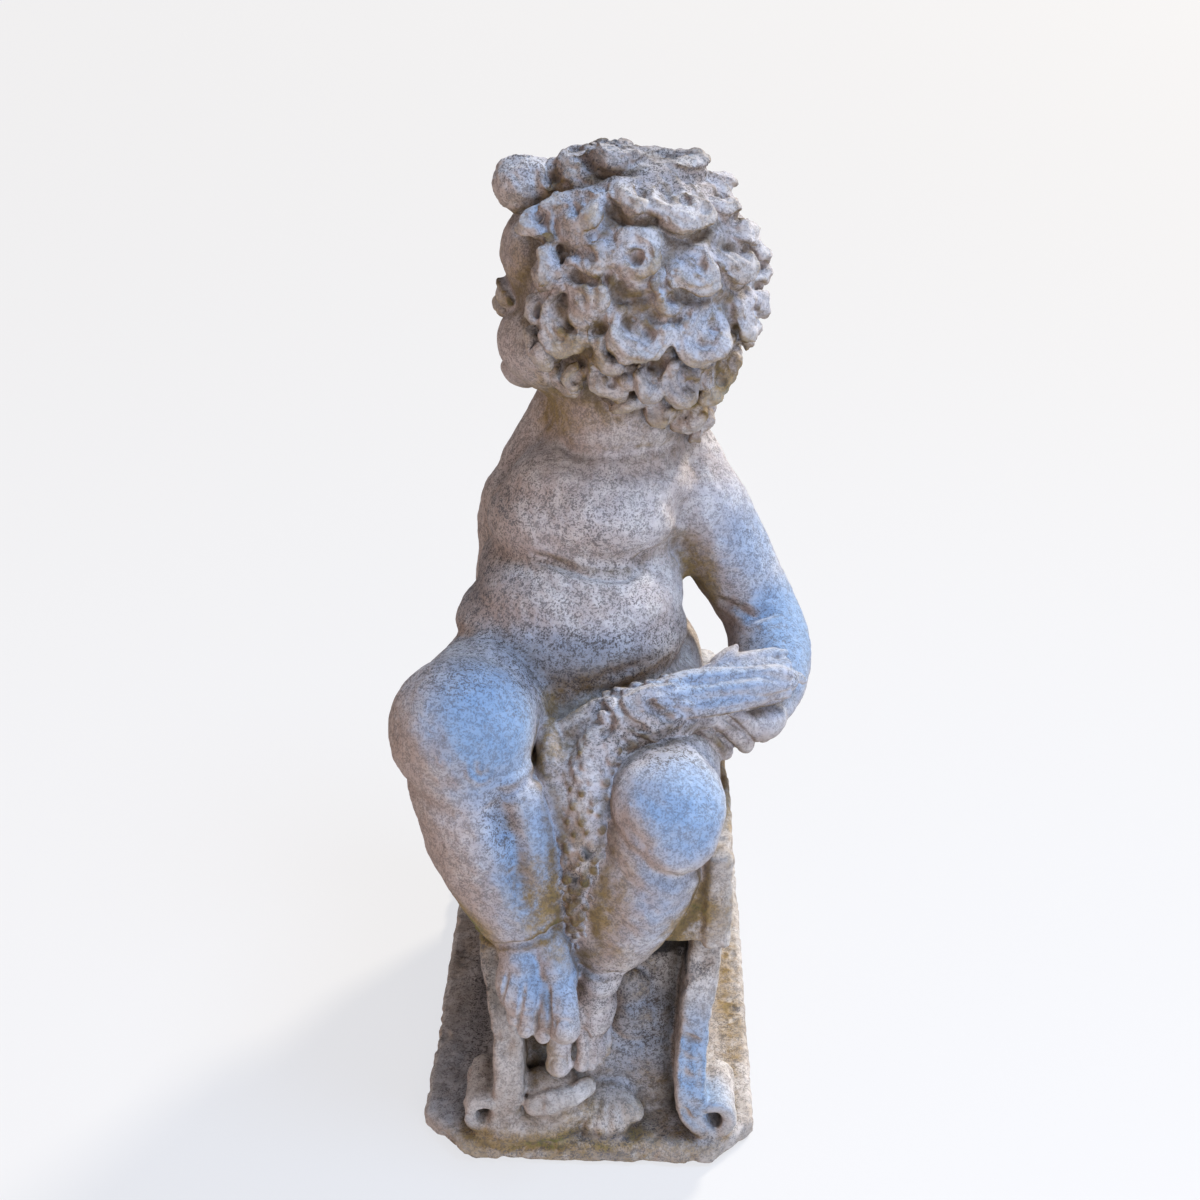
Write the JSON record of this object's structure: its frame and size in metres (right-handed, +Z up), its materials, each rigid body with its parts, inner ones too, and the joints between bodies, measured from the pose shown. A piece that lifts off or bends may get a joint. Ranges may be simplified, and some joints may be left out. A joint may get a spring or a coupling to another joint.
{
  "type": "stone putto statue",
  "caption": "Weathered cast-stone putto seated on a scroll-legged stool over a low plinth, curly head turned aside, a sheaf held across its lap.",
  "frame": {"origin": "middle of the plinth's underside, on the ground the statue stands on", "axes": "+Z up; the figure faces -Y; +X is the figure's left, with the arm that holds the sheaf"},
  "size_m": [0.3437, 0.4373, 0.8034],
  "materials": {
    "stone": "rough weathered cast stone, with lichen and moss"
  },
  "bodies": {
    "root": {"putto_statue": "stone"}
  },
  "joints": []
}
